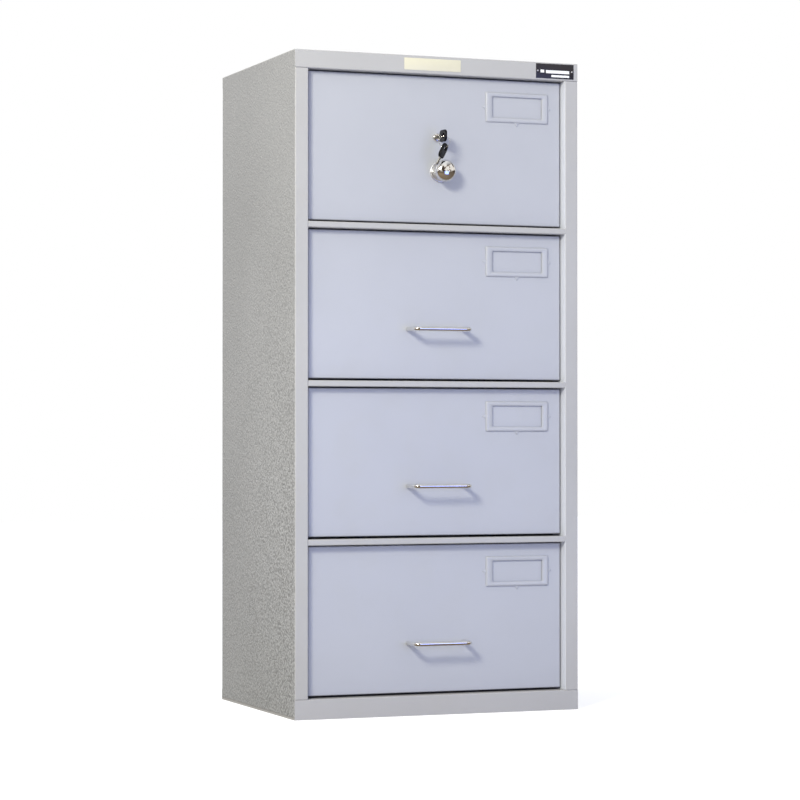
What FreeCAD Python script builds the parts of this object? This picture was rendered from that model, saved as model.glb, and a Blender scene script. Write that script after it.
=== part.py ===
"""Four-drawer steel filing cabinet, built piece by piece, in millimetres.

Frame: the origin is on the floor under the middle of the body. +X is to the right of someone who
faces the drawers, +Y runs from the drawers to the back, and +Z is up.
"""
import FreeCAD, Part
import collections
import os
import re

import Sketcher
from FreeCAD import Rotation, Vector

# Every driving size, in millimetres or degrees. The sheet in the document holds the same names.
SIZES = {
    # body
    "width": 612,
    "deep": 470,
    "tall": 1320,
    "skin": 1.5,
    "bend": 2.2,
    "jamb_depth": 62,
    "back_flange": 14,
    "pan_upstand": 22,
    "side_lift": 6,
    "seam": 0.4,
    # front frame
    "stile": 28,
    "top_rail": 36,
    "base_rail": 40,
    "divider": 12,
    # drawer fronts
    "recess": 20,
    "face_depth": 20,
    "face_skin": 1.2,
    "face_bend": 2.5,
    "gap_top": 2.5,
    "gap_bottom": 4.5,
    "gap_left": 7,
    "gap_right": 2.5,
    # drawer boxes
    "tray_wall": 1.2,
    "tray_lift": 14,
    "tray_height": 235,
    "tray_depth": 400,
    "rail_height": 14,
    "rail_wall": 2,
    "rail_stand": 8,
    # drawer slides
    "slide_room": 13,
    "slide_wall": 1.5,
    "slide_half": 23,
    "slide_play": 0.3,
    "slide_gap": 1,
    "slide_height": 110,
    "slide_length": 380,
    # rear posts
    "post_depth": 35,
    "post_back": 18,
    # drawer handles
    "handle_span": 120,
    "handle_reach": 48,
    "handle_rod": 4.5,
    "handle_turn": 13,
    "handle_height": 104,
    "screw_hole": 2.6,
    "screw_shank": 2.5,
    "screw_head": 4.5,
    "screw_grip": 12,
    # label holders
    "label_wide": 138,
    "label_high": 61,
    "label_thick": 4,
    "label_border_side": 14,
    "label_border_end": 9,
    "label_bevel": 3,
    "label_right": 28,
    "label_top": 25,
    "label_tab": 7,
    "label_tab_thick": 1.2,
    # lock and keys
    "lock_place": 2,
    "lock_height": 177,
    "lock_bezel": 8.2,
    "lock_proud": 6,
    "lock_barrel": 7,
    "lock_depth": 11.5,
    "plug": 5,
    "running_fit": 0.05,
    "blade_thick": 1.6,
    "blade_half": 3.6,
    "blade_slack": 0.1,
    "blade_length": 16,
    "neck_length": 17,
    "bow_length": 31,
    "bow_half": 12,
    "bow_thick": 5,
    "bow_turn": 8,
    "bow_hole": 5,
    "bow_hole_in": 9,
    "spare_half": 11,
    "ring_size": 11,
    "ring_wire": 0.8,
    "ring_rise": 1.5,
    "ring_turn": -33,
    "spare_turn": 45,
    "spare_clear": 0.5,
    # knob and bolt
    "knob_place": 9.5,
    "knob_height": 108,
    "knob_ball": 22,
    "knob_dome": 14,
    "knob_stand": 13,
    "knob_neck": 8,
    "rose": 21.5,
    "rose_thick": 4,
    "rose_hub": 9,
    "spindle": 4,
    "crank": 12,
    "crank_thick": 3,
    "crank_pin": 2.5,
    "pin_play": 0.4,
    "bolt_half": 14,
    "bolt_thick": 3,
    "bolt_throw": 12,
    "guide_play": 0.4,
    "guide_wall": 2,
    "guide_high": 12,
    # gang-lock bar at the back
    "bar_place": 248,
    "bar_half": 8,
    "bar_thick": 3,
    "bar_end": 60,
    "bar_off_tray": 15,
    "catch_height": 200,
    "catch_reach": 12,
    "catch_drop": 10,
    "catch_thick": 3,
    "prong_off_tray": 3,
    "prong_gap": 4,
    "prong_drop": 14,
    # plates on the top rail and floor fixing
    "maker_wide": 122,
    "maker_high": 24,
    "maker_place": -14,
    "plate_thick": 0.8,
    "plate_drop": 17.5,
    "rating_wide": 84,
    "rating_high": 30,
    "rating_place": 255,
    "rivet_span": 76,
    "rivet": 2,
    "bolt_span_across": 480,
    "bolt_span_deep": 340,
    "bolt_hole": 6.5,
    "back_rivet": 3,
    "back_rivet_count": 5,
    "bead_proud": 1.2,
    "bead_half": 9,
}

# Sizes that follow from the driving ones.
DERIVED = {
    "side": "(width / 2)",
    "front": "(-deep / 2)",
    "rear": "(deep / 2)",
    "jamb": "(width / 2 - stile)",
    "bay": "((tall - top_rail - base_rail - 3 * divider) / 4)",
    "face_front": "(-deep / 2 + recess)",
    "face_rear": "(-deep / 2 + recess + face_depth)",
    "face_low": "gap_bottom",
    "face_high": "(bay - gap_top)",
    "tray_side": "(width / 2 - stile - slide_room)",
    "tray_rear": "(-deep / 2 + recess + face_depth + tray_depth)",
    "bolt_front": "(-deep / 2 + recess + face_depth - face_skin - 1.8 - bolt_thick)",
    "knob_reach": "(rose_thick + knob_stand + 2 * knob_dome)",
    "spare_drop": "(lock_height - 2 * (ring_rise + ring_size) - knob_height)",
    "spare_lean": "(asin((knob_ball + blade_half + spare_clear) / spare_span)"
                  " - atan((knob_place - lock_place) / spare_drop))",
    "spare_span": "sqrt((knob_place - lock_place)^2 + spare_drop^2)",
}

DRAWERS = (1, 2, 3, 4)
LEFT = "-1"
RIGHT = "1"
NAME = re.compile(r"\b[a-z][a-z_]*\b")
Round = collections.namedtuple("Round", "x y radius")

doc = FreeCAD.newDocument("filing_cabinet")
sheet = doc.addObject("Spreadsheet::Sheet", "sizes")
for row, (size_name, size) in enumerate(SIZES.items(), 1):
    sheet.set(f"A{row}", size_name)
    sheet.set(f"B{row}", str(size))
    sheet.setAlias(f"B{row}", size_name)
doc.recompute()

nodes = []


# ---- helpers -------------------------------------------------------------------------------------

def bound(text):
    """Write an expression on the size names as one that reads the sheet."""
    def swap(match):
        word = match.group()
        if word in DERIVED:
            return NAME.sub(swap, DERIVED[word])
        return "sizes." + word if word in SIZES else word
    return NAME.sub(swap, str(text))


def value(text):
    """The number that an expression on the size names stands for."""
    return float(sheet.evalExpression(bound(text)))


def node(thing, label):
    """Name an object as one of the cabinet's pieces."""
    thing.Label = label
    nodes.append(thing)
    return thing


def place(thing, x="0", y="0", z="0"):
    """Bind where an object stands."""
    for axis, text in (("x", x), ("y", y), ("z", z)):
        thing.setExpression(f"Placement.Base.{axis}", bound(text))
    return thing


def bay_floor(number):
    """Height of the bottom of a drawer's opening, counted from the top drawer."""
    return f"(base_rail + {len(DRAWERS) - number} * (bay + divider))"


def new_body(name):
    return doc.addObject("PartDesign::Body", name)


def draw(sketch, loop):
    """Add one closed loop, a polygon or a circle, with every coordinate bound to the sizes."""
    first = sketch.GeometryCount
    if isinstance(loop, Round):
        sketch.addGeometry(Part.Circle(Vector(0, 0, 0), Vector(0, 0, 1), 1))
        pins = [(Sketcher.Constraint("Radius", first, 1), loop.radius),
                (Sketcher.Constraint("DistanceX", -1, 1, first, 3, 0), loop.x),
                (Sketcher.Constraint("DistanceY", -1, 1, first, 3, 0), loop.y)]
    else:
        spots = [Vector(value(x), value(y), 0) for x, y in loop]
        pins = []
        for n, spot in enumerate(spots):
            sketch.addGeometry(Part.LineSegment(spot, spots[(n + 1) % len(spots)]))
        for n, spot in enumerate(spots):
            after = first + (n + 1) % len(spots)
            sketch.addConstraint(Sketcher.Constraint("Coincident", first + n, 2, after, 1))
            pins.append((Sketcher.Constraint("DistanceX", -1, 1, first + n, 1, spot.x), loop[n][0]))
            pins.append((Sketcher.Constraint("DistanceY", -1, 1, first + n, 1, spot.y), loop[n][1]))
    for constraint, text in pins:
        index = sketch.addConstraint(constraint)
        sketch.setExpression(f"Constraints[{index}]", bound(text))


def flat_sketch(body, role, loops, level):
    """A sketch on one of the body's own planes, lifted to a level along the plane's axis."""
    sketch = body.newObject("Sketcher::SketchObject", body.Name + "_outline")
    plane = next(item for item in body.Origin.OriginFeatures if item.Role == role)
    sketch.AttachmentSupport = [(plane, "")]
    sketch.MapMode = "FlatFace"
    sketch.setExpression("AttachmentOffset.Base.z", bound(level))
    for loop in loops:
        draw(sketch, loop)
    doc.recompute()
    return sketch


def prism(body, role, loops, start, length):
    """Pad loops from start to start + length along the axis square to their plane."""
    level = f"-(({start}) + ({length}))" if role == "XZ_Plane" else start
    pad = body.newObject("PartDesign::Pad", body.Name + "_pad")
    pad.Profile = flat_sketch(body, role, loops, level)
    pad.setExpression("Length", bound(length))
    doc.recompute()
    return pad


def cut(body, role, loops, start, length):
    """Pocket loops from start to start + length, and make sure that something was cut."""
    before = body.Shape.Volume
    level = f"-({start})" if role == "XZ_Plane" else f"({start}) + ({length})"
    pocket = body.newObject("PartDesign::Pocket", body.Name + "_pocket")
    pocket.Profile = flat_sketch(body, role, loops, level)
    pocket.setExpression("Length", bound(length))
    doc.recompute()
    if body.Shape.Volume >= before:
        raise RuntimeError(f"{pocket.Name} cuts nothing")
    return pocket


def edges_at(shape, axis, places):
    """Names of the straight edges that run along an axis through the given places."""
    along = "XYZ".index(axis)
    across = [n for n in range(3) if n != along]
    spots = [[value(text) for text in spot] for spot in places]
    found = []
    for number, edge in enumerate(shape.Edges, 1):
        if edge.Curve.TypeId != "Part::GeomLine" or abs(edge.Curve.Direction[along]) < 0.999:
            continue
        point = edge.Vertexes[0].Point
        here = [point[n] for n in across]
        if any(abs(here[0] - spot[0]) + abs(here[1] - spot[1]) < 0.002 for spot in spots):
            found.append(f"Edge{number}")
    return found


def dress(body, kind, size, *runs):
    """Fillet or chamfer the edges that runs name: each run is an axis and its places."""
    base = body.Tip
    names = [name for axis, places in runs for name in edges_at(base.Shape, axis, places)]
    feature = body.newObject("PartDesign::" + kind, body.Name + "_" + kind.lower())
    feature.Base = (base, sorted(set(names)))
    feature.setExpression("Radius" if kind == "Fillet" else "Size", bound(size))
    doc.recompute()
    return feature


def turned(body, points):
    """Revolve an outline of (distance out from the axis, distance along Y) about the Y axis."""
    feature = body.newObject("PartDesign::Revolution", body.Name + "_turned")
    feature.Profile = flat_sketch(body, "XY_Plane", [points], "0")
    feature.ReferenceAxis = (feature.Profile[0], ["V_Axis"])
    feature.Angle = 360
    doc.recompute()
    return feature


def box(name, low, size):
    """A block from its low corner and its three sizes."""
    thing = doc.addObject("Part::Box", name)
    for side_name, text in zip(("Length", "Width", "Height"), size):
        thing.setExpression(side_name, bound(text))
    return place(thing, *low)


def rod(name, start, radius, length, tilt=None):
    """A cylinder from the middle of its first end: along +Z, or along the way tilt turns it."""
    thing = doc.addObject("Part::Cylinder", name)
    thing.setExpression("Radius", bound(radius))
    thing.setExpression("Height", bound(length))
    if tilt:
        thing.Placement.Rotation = tilt
    return place(thing, *start)


def joined(name, *things):
    thing = doc.addObject("Part::MultiFuse", name)
    thing.Shapes = list(things)
    return thing


def less(name, base, *tools):
    """A base with tools taken away."""
    thing = doc.addObject("Part::Cut", name)
    thing.Base = base
    thing.Tool = tools[0] if len(tools) == 1 else joined(name + "_tools", *tools)
    return thing


def group(label, things, z="0"):
    """Separate solids kept as one piece."""
    thing = doc.addObject("Part::Compound", label)
    thing.Links = things
    place(thing, z=z)
    return node(thing, label)


BACKWARDS = Rotation(Vector(1, 0, 0), -90)
FORWARDS = Rotation(Vector(1, 0, 0), 90)


# ---- body ----------------------------------------------------------------------------------------

def side_panel(label, hand):
    """Side wall, folded round the front into the stile and jamb, and round the back as a flange."""
    def out(text):
        return f"{hand} * ({text})"
    body = new_body(label)
    wall = [(out("side"), "front + skin"), (out("side"), "rear - skin"),
            (out("side - back_flange"), "rear - skin"), (out("side - back_flange"), "rear - 2 * skin"),
            (out("side - skin"), "rear - 2 * skin"), (out("side - skin"), "front + skin")]
    prism(body, "XY_Plane", [wall], "side_lift", "tall - skin - side_lift")
    stile = [(out("side"), "front + skin + 6"), (out("side"), "front"), (out("jamb"), "front"),
             (out("jamb"), "front + jamb_depth"), (out("jamb + skin"), "front + jamb_depth"),
             (out("jamb + skin"), "front + skin"), (out("side - skin"), "front + skin"),
             (out("side - skin"), "front + skin + 6")]
    prism(body, "XY_Plane", [stile], "base_rail + seam", "tall - top_rail - base_rail - 2 * seam")
    dress(body, "Fillet", "bend", ("Z", [(out("side"), "front"), (out("jamb"), "front")]))
    return node(body, label)


def top_panel():
    """Top sheet with a deep front fold as the top rail, a head return and a rear fold."""
    body = new_body("top_panel")
    fold = [("rear", "tall - pan_upstand"), ("rear", "tall"), ("front", "tall"),
            ("front", "tall - top_rail"), ("front + jamb_depth", "tall - top_rail"),
            ("front + jamb_depth", "tall - top_rail + skin"), ("front + skin", "tall - top_rail + skin"),
            ("front + skin", "tall - skin"), ("rear - skin", "tall - skin"),
            ("rear - skin", "tall - pan_upstand")]
    prism(body, "YZ_Plane", [fold], "-side", "width")
    dress(body, "Fillet", "bend", ("X", [("front", "tall"), ("front", "tall - top_rail")]))
    relief = [[(f"{hand} * (side - skin)", "front + skin"), (f"{hand} * (side + 1)", "front + skin"),
               (f"{hand} * (side + 1)", "front + jamb_depth + 1"),
               (f"{hand} * (side - skin)", "front + jamb_depth + 1")] for hand in (LEFT, RIGHT)]
    cut(body, "XY_Plane", relief, "tall - top_rail - 1", "skin + 2")
    slot = [(f"knob_place + {hand} * (bolt_half + 1.5)", f"bolt_front + {edge}")
            for hand, edge in ((LEFT, "-1.5"), (RIGHT, "-1.5"), (RIGHT, "bolt_thick + 1.5"),
                               (LEFT, "bolt_thick + 1.5"))]
    cut(body, "XY_Plane", [slot], "tall - top_rail - 1", "skin + 2")
    return node(body, "top_panel")


def base_pan():
    """Floor pan: flat underneath, folded up in front as the base rail and sill, bolted at corners."""
    body = new_body("base_pan")
    fold = [("rear", "0"), ("rear", "pan_upstand"), ("rear - skin", "pan_upstand"),
            ("rear - skin", "skin"), ("front + skin", "skin"), ("front + skin", "base_rail - skin"),
            ("front + jamb_depth", "base_rail - skin"), ("front + jamb_depth", "base_rail"),
            ("front", "base_rail"), ("front", "0")]
    prism(body, "YZ_Plane", [fold], "-side", "width")
    dress(body, "Fillet", "bend", ("X", [("front", "base_rail")]))
    relief = [[(f"{hand} * (side - skin)", "front + skin"), (f"{hand} * (side + 1)", "front + skin"),
               (f"{hand} * (side + 1)", "front + jamb_depth + 1"),
               (f"{hand} * (side - skin)", "front + jamb_depth + 1")] for hand in (LEFT, RIGHT)]
    cut(body, "XY_Plane", relief, "base_rail - skin - 1", "skin + 2")
    for hand in (LEFT, RIGHT):
        upstand = [(f"{hand} * (side - skin)", "front + skin"), (f"{hand} * (side - skin)", "rear - 2 * skin"),
                   (f"{hand} * (side - 2 * skin)", "rear - 2 * skin"),
                   (f"{hand} * (side - 2 * skin)", "front + skin")]
        prism(body, "XY_Plane", [upstand], "skin", "pan_upstand - skin")
    bolts = [Round(f"{a} * bolt_span_across / 2", f"{b} * bolt_span_deep / 2", "bolt_hole")
             for a in (LEFT, RIGHT) for b in (LEFT, RIGHT)]
    cut(body, "XY_Plane", bolts, "-1", "skin + 2")
    return node(body, "base_pan")


def back_panel():
    """Back sheet inside the side flanges, stiffened by three pressed beads."""
    body = new_body("back_panel")
    edge = "side - 2 * skin"
    plate = [(f"-({edge})", "pan_upstand / 2"), (edge, "pan_upstand / 2"),
             (edge, "tall - 2 * skin"), (f"-({edge})", "tall - 2 * skin")]
    prism(body, "XZ_Plane", [plate], "rear - 3 * skin", "skin")
    reach = "side - back_flange - 40"
    for share in (1, 2, 3):
        middle = f"tall * {share} / 4"
        bead = [(f"-({reach})", f"{middle} - bead_half"), (reach, f"{middle} - bead_half"),
                (reach, f"{middle} + bead_half"), (f"-({reach})", f"{middle} + bead_half")]
        prism(body, "XZ_Plane", [bead], "rear - 2 * skin", "bead_proud")
    return node(body, "back_panel")


def back_rivets():
    """Rivets that hold the back sheet to the side flanges."""
    rivets = []
    for hand in (LEFT, RIGHT):
        for number in range(SIZES["back_rivet_count"]):
            height = f"100 + (tall - 200) * {number} / (back_rivet_count - 1)"
            start = (f"{hand} * (side - skin - back_flange / 2)", "rear - skin", height)
            rivets.append(rod("back_rivet", start, "back_rivet", "1.2", BACKWARDS))
    return group("back_rivets", rivets)


def rear_post(label, hand):
    """Upright channel on the side wall that carries the back ends of the slides."""
    body = new_body(label)
    web, foot = f"{hand} * jamb", f"{hand} * (side - skin)"
    inner = f"{hand} * (jamb + skin)"
    near, far = "rear - post_back - post_depth", "rear - post_back"
    channel = [(foot, near), (web, near), (web, far), (foot, far), (foot, f"{far} - skin"),
               (inner, f"{far} - skin"), (inner, f"{near} + skin"), (foot, f"{near} + skin")]
    prism(body, "XY_Plane", [channel], "base_rail", "tall - top_rail - base_rail")
    return node(body, label)


def divider_rail(number):
    """Channel between two drawers, flush with the front frame."""
    body = new_body(f"divider_rail_{number}")
    fold = [("front", "0"), ("front", "divider"), ("front + jamb_depth", "divider"),
            ("front + jamb_depth", "divider - skin"), ("front + skin", "divider - skin"),
            ("front + skin", "skin"), ("front + jamb_depth", "skin"), ("front + jamb_depth", "0")]
    prism(body, "YZ_Plane", [fold], "-jamb", "2 * jamb")
    dress(body, "Fillet", "bend", ("X", [("front", "0"), ("front", "divider")]))
    place(body, z=f"{bay_floor(number)} - divider")
    return node(body, f"divider_rail_{number}")


def plates():
    """Blank paper label and blank riveted metal plate on the top rail."""
    height = "tall - plate_drop - {0} / 2"
    for label, across, wide, high in (("maker_plate", "maker_place", "maker_wide", "maker_high"),
                                      ("rating_plate", "rating_place", "rating_wide", "rating_high")):
        low = (f"{across} - {wide} / 2", "front - plate_thick", height.format(high))
        node(box(label, low, (wide, "plate_thick", high)), label)
    rivets = [rod("plate_rivet", (f"rating_place + {hand} * rivet_span / 2", "front - plate_thick",
                                  "tall - plate_drop"), "rivet", "0.9", FORWARDS)
              for hand in (LEFT, RIGHT)]
    group("rating_plate_rivets", rivets)


# ---- slides --------------------------------------------------------------------------------------

def slide_member(name, hand, web, tip, half, length, turn):
    """One C-shaped slide section. Web and tip are measured inwards from the jamb."""
    body = new_body(name)
    inner = f"{web} + {turn} * slide_wall"
    points = [(web, f"-({half})"), (tip, f"-({half})"), (tip, f"-({half}) + slide_wall"),
              (inner, f"-({half}) + slide_wall"), (inner, f"{half} - slide_wall"),
              (tip, f"{half} - slide_wall"), (tip, half), (web, half)]
    loop = [(f"{hand} * (jamb - ({u}))", f"slide_height + {z}") for u, z in points]
    prism(body, "XZ_Plane", [loop], "face_rear + 5", length)
    return body


def slides(number):
    """Fixed, middle and drawer sections of one drawer's pair of telescopic slides."""
    tip = "slide_room - slide_gap"
    middle = "slide_half - slide_wall - slide_play"
    last = "slide_half - 2 * (slide_wall + slide_play)"
    rows = (("fixed_slides", "0", tip, "slide_half", "slide_length + 10", "1"),
            ("middle_slides", "slide_wall + 0.5", tip, middle, "slide_length", "1"),
            ("drawer_slides", "slide_room", "2 * slide_wall + 1", last, "slide_length", "-1"))
    for kind, web, end, half, length, turn in rows:
        pair = [slide_member(f"{kind}_{number}_half", hand, web, end, half, length, turn)
                for hand in (LEFT, RIGHT)]
        group(f"{kind}_{number}", pair, z=bay_floor(number))


# ---- drawers -------------------------------------------------------------------------------------

def face(number):
    """Folded drawer front, open behind. The top one takes the lock, the others a handle."""
    body = new_body(f"face_{number}")
    left, right = "-jamb + gap_left", "jamb - gap_right"
    outline = [(left, "face_low"), (right, "face_low"), (right, "face_high"), (left, "face_high")]
    prism(body, "XZ_Plane", [outline], "face_front", "face_depth")
    dress(body, "Fillet", "face_bend", ("X", [("face_front", "face_low"), ("face_front", "face_high")]),
          ("Z", [(left, "face_front"), (right, "face_front")]), ("Y", outline))
    hollow = [(f"{left} + face_skin", "face_low + face_skin"), (f"{right} - face_skin", "face_low + face_skin"),
              (f"{right} - face_skin", "face_high - face_skin"), (f"{left} + face_skin", "face_high - face_skin")]
    cut(body, "XZ_Plane", [hollow], "face_front + face_skin", "face_depth")
    if number == 1:
        holes = [Round("lock_place", "lock_height", "lock_barrel"),
                 Round("knob_place", "knob_height", "rose_hub")]
        slot = [(f"knob_place + {hand} * (bolt_half + guide_play)", f"bolt_front + {edge}")
                for hand, edge in ((LEFT, "-guide_play"), (RIGHT, "-guide_play"),
                                   (RIGHT, "bolt_thick + guide_play"), (LEFT, "bolt_thick + guide_play"))]
        cut(body, "XY_Plane", [slot], "face_high - face_skin - 1", "face_skin + 2")
    else:
        holes = [Round(f"{hand} * handle_span / 2", "handle_height", "screw_hole") for hand in (LEFT, RIGHT)]
    cut(body, "XZ_Plane", holes, "face_front - 1", "face_skin + 2")
    place(body, z=bay_floor(number))
    return node(body, f"face_{number}")


def tray(number):
    """Welded open drawer box with a tall inner front and a hooked catch on its back."""
    name = f"tray_{number}"
    shell = box(name + "_block", ("-tray_side", "face_rear", "tray_lift"),
                ("2 * tray_side", "tray_depth", "tray_height"))
    room = box(name + "_room", ("-tray_side + tray_wall", "face_rear + tray_wall", "tray_lift + tray_wall"),
               ("2 * (tray_side - tray_wall)", "tray_depth - 2 * tray_wall", "tray_height"))
    inner_front = box(name + "_inner_front",
                      ("-jamb + gap_left + face_skin", "face_rear - tray_wall", "face_low + face_skin"),
                      ("2 * jamb - gap_left - gap_right - 2 * face_skin", "tray_wall",
                       "face_high - face_low - 2 * face_skin"))
    arm = box(name + "_catch", ("bar_place - bar_half", "tray_rear", "catch_height"),
              ("2 * bar_half", "catch_reach", "catch_thick"))
    lip = box(name + "_lip",
              ("bar_place - bar_half", "tray_rear + catch_reach - catch_thick", "catch_height - catch_drop"),
              ("2 * bar_half", "catch_thick", "catch_drop + catch_thick"))
    thing = joined(name, less(name + "_shell", shell, room), inner_front, arm, lip)
    place(thing, z=bay_floor(number))
    return node(thing, name)


def file_rails(number):
    """Angle strips along the front and back walls that hanging files hook on to."""
    rails = []
    top = "tray_lift + tray_height + rail_stand"
    for end, wall, shelf in (("front", "face_rear + tray_wall", "0"),
                             ("back", "tray_rear - tray_wall - rail_wall", "rail_wall - 7")):
        name = f"file_rail_{end}_{number}"
        low = ("-tray_side + tray_wall", wall, f"{top} - rail_height - rail_stand")
        strip = box(name + "_web", low, ("2 * (tray_side - tray_wall)", "rail_wall", "rail_height + rail_stand"))
        lip = box(name + "_lip", ("-tray_side + tray_wall", f"{wall} + {shelf}", f"{top} - rail_height - rail_stand"),
                  ("2 * (tray_side - tray_wall)", "7", "rail_wall"))
        rails.append(joined(name, strip, lip))
    return group(f"file_rails_{number}", rails, z=bay_floor(number))


def label_holder(number):
    """Raised frame for a card, with a bevelled rim and three pressed tabs."""
    body = new_body(f"label_holder_{number}")
    right, top = "jamb - gap_right - label_right", "face_high - label_top"
    left, low = f"{right} - label_wide", f"{top} - label_high"
    outline = [(left, low), (right, low), (right, top), (left, top)]
    prism(body, "XZ_Plane", [outline], "face_front - label_thick", "label_thick")
    y = "face_front - label_thick"
    dress(body, "Chamfer", "label_bevel", ("X", [(y, low), (y, top)]), ("Z", [(left, y), (right, y)]))
    window = [(f"{left} + label_border_side", f"{low} + label_border_end"),
              (f"{right} - label_border_side", f"{low} + label_border_end"),
              (f"{right} - label_border_side", f"{top} - label_border_end"),
              (f"{left} + label_border_side", f"{top} - label_border_end")]
    cut(body, "XZ_Plane", [window], "face_front - label_thick - 1", "label_thick + 2")
    dress(body, "Fillet", "2.5", ("Y", window))
    middle_high, middle_wide = f"{low} + label_high / 2", f"{left} + label_wide / 2"
    tabs = [[(left, f"{middle_high} - label_tab"), (left, f"{middle_high} + label_tab"),
             (f"{left} - label_tab", middle_high)],
            [(right, f"{middle_high} - label_tab"), (right, f"{middle_high} + label_tab"),
             (f"{right} + label_tab", middle_high)],
            [(f"{middle_wide} - label_tab", low), (f"{middle_wide} + label_tab", low),
             (middle_wide, f"{low} - label_tab")]]
    prism(body, "XZ_Plane", tabs, "face_front - label_tab_thick", "label_tab_thick")
    place(body, z=bay_floor(number))
    return node(body, f"label_holder_{number}")


def handle(number):
    """Bent rod handle: two legs, two quarter turns and a bar, with a blind hole up each leg."""
    name = f"handle_{number}"
    bar_y = "face_front - handle_reach + handle_rod"
    pieces = []
    holes = []
    for hand in (LEFT, RIGHT):
        foot = f"{hand} * handle_span / 2"
        leg_length = "handle_reach - handle_rod - handle_turn"
        pieces.append(rod(name + "_leg", (foot, "face_front", "handle_height"), "handle_rod",
                          leg_length, FORWARDS))
        corner = doc.addObject("Part::Torus", name + "_corner")
        corner.setExpression("Radius1", bound("handle_turn"))
        corner.setExpression("Radius2", bound("handle_rod"))
        corner.Angle3 = 90
        corner.Placement.Rotation = Rotation(Vector(0, 0, 1), 180 if hand == LEFT else 270)
        place(corner, f"{hand} * (handle_span / 2 - handle_turn)", f"{bar_y} + handle_turn", "handle_height")
        pieces.append(corner)
        holes.append(rod(name + "_hole", (foot, "face_front + 1", "handle_height"), "screw_hole",
                         "screw_grip + 1.5", FORWARDS))
    pieces.append(rod(name + "_bar", ("-handle_span / 2 + handle_turn", bar_y, "handle_height"),
                      "handle_rod", "handle_span - 2 * handle_turn", Rotation(Vector(0, 1, 0), 90)))
    thing = less(name, joined(name + "_rod", *pieces), *holes)
    place(thing, z=bay_floor(number))
    return node(thing, name)


def handle_screws(number):
    """Two screws from inside the drawer front into the handle's legs."""
    screws = []
    for hand in (LEFT, RIGHT):
        middle = f"{hand} * handle_span / 2"
        head = rod("screw_head", (middle, "face_front + face_skin + 3", "handle_height"), "screw_head", "3", FORWARDS)
        shank = rod("screw_shank", (middle, "face_front + face_skin", "handle_height"), "screw_shank",
                    "face_skin + screw_grip", FORWARDS)
        screws.append(joined("screw", head, shank))
    return group(f"handle_screws_{number}", screws, z=bay_floor(number))


# ---- lock, keys, knob and bolt, all on the top drawer ---------------------------------------------

def lock_cylinder():
    """Lock housing with a bezel on the drawer front and a bore for the plug."""
    body = new_body("lock_cylinder")
    turned(body, [("plug + running_fit", "lock_depth"), ("plug + running_fit", "-lock_proud"),
                  ("lock_bezel - 1", "-lock_proud"), ("lock_bezel", "-lock_proud + 1"), ("lock_bezel", "0"),
                  ("lock_barrel", "0"), ("lock_barrel", "lock_depth")])
    place(body, "lock_place", "face_front", f"{bay_floor(1)} + lock_height")
    return node(body, "lock_cylinder")


def lock_plug():
    """Turning plug with a slot for the key's blade."""
    body = new_body("lock_plug")
    turned(body, [("0", "lock_depth"), ("0", "-lock_proud"), ("plug", "-lock_proud"), ("plug", "lock_depth")])
    slot = [(f"{a} * (blade_thick / 2 + blade_slack)", f"{b} * (blade_half + blade_slack)")
            for a, b in ((LEFT, LEFT), (RIGHT, LEFT), (RIGHT, RIGHT), (LEFT, RIGHT))]
    cut(body, "XZ_Plane", [slot], "-lock_proud - 1", "lock_depth + lock_proud + 0.5")
    place(body, "lock_place", "face_front", f"{bay_floor(1)} + lock_height")
    return node(body, "lock_plug")


def key_shape(body, plane, half, thick, neck):
    """A key drawn about its bow hole: the bow, a round hole and a blade that runs away along -V."""
    def loop(u, low, high):
        return [(f"-({u})", low), (u, low), (u, high), (f"-({u})", high)]
    bow_end = "-(bow_length - bow_hole_in)"
    prism(body, plane, [loop(half, bow_end, "bow_hole_in")], "-bow_thick / 2", "bow_thick")
    corners = loop(half, bow_end, "bow_hole_in")
    dress(body, "Fillet", "bow_turn", ("X" if plane == "YZ_Plane" else "Y", corners))
    cut(body, plane, [Round("0", "0", "bow_hole")], "-bow_thick / 2 - 1", "bow_thick + 2")
    prism(body, plane, [loop("blade_half", f"{bow_end} - ({neck})", f"{bow_end} + 3")],
          f"-{thick} / 2", thick)


def key():
    """The key in the lock, its bow upright in front of the plug."""
    body = new_body("key")
    key_shape(body, "XZ_Plane", "bow_half", "blade_thick", "neck_length + lock_depth")
    into_lock = Rotation(Vector(0, 1, 0), -90).multiply(Rotation(Vector(1, 0, 0), 90))
    body.Placement.Rotation = into_lock
    reach = "face_front - lock_proud - neck_length + 1.5 - (bow_length - bow_hole_in)"
    place(body, "lock_place", reach, f"{bay_floor(1)} + lock_height")
    return node(body, "key")


def key_ring():
    """Wire ring through the bow holes of both keys."""
    ring = doc.addObject("Part::Torus", "key_ring")
    ring.setExpression("Radius1", bound("ring_size"))
    ring.setExpression("Radius2", bound("ring_wire"))
    ring.Placement.Rotation = Rotation(Vector(0, 0, 1), value("ring_turn")).multiply(FORWARDS)
    reach = "face_front - lock_proud - neck_length + 1.5 - (bow_length - bow_hole_in)"
    place(ring, "lock_place", reach, f"{bay_floor(1)} + lock_height - ring_rise - ring_size")
    return node(ring, "key_ring")


def spare_key():
    """The second key, which hangs in the ring and leans on the knob."""
    body = new_body("spare_key")
    key_shape(body, "XZ_Plane", "spare_half", "blade_thick", "blade_length")
    lean = Rotation(Vector(0, 1, 0), value("spare_lean"))
    body.Placement.Rotation = lean.multiply(Rotation(Vector(0, 0, 1), value("spare_turn")))
    reach = "face_front - lock_proud - neck_length + 1.5 - (bow_length - bow_hole_in)"
    place(body, "lock_place", reach, f"{bay_floor(1)} + lock_height - 2 * (ring_rise + ring_size)")
    return node(body, "spare_key")


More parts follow.
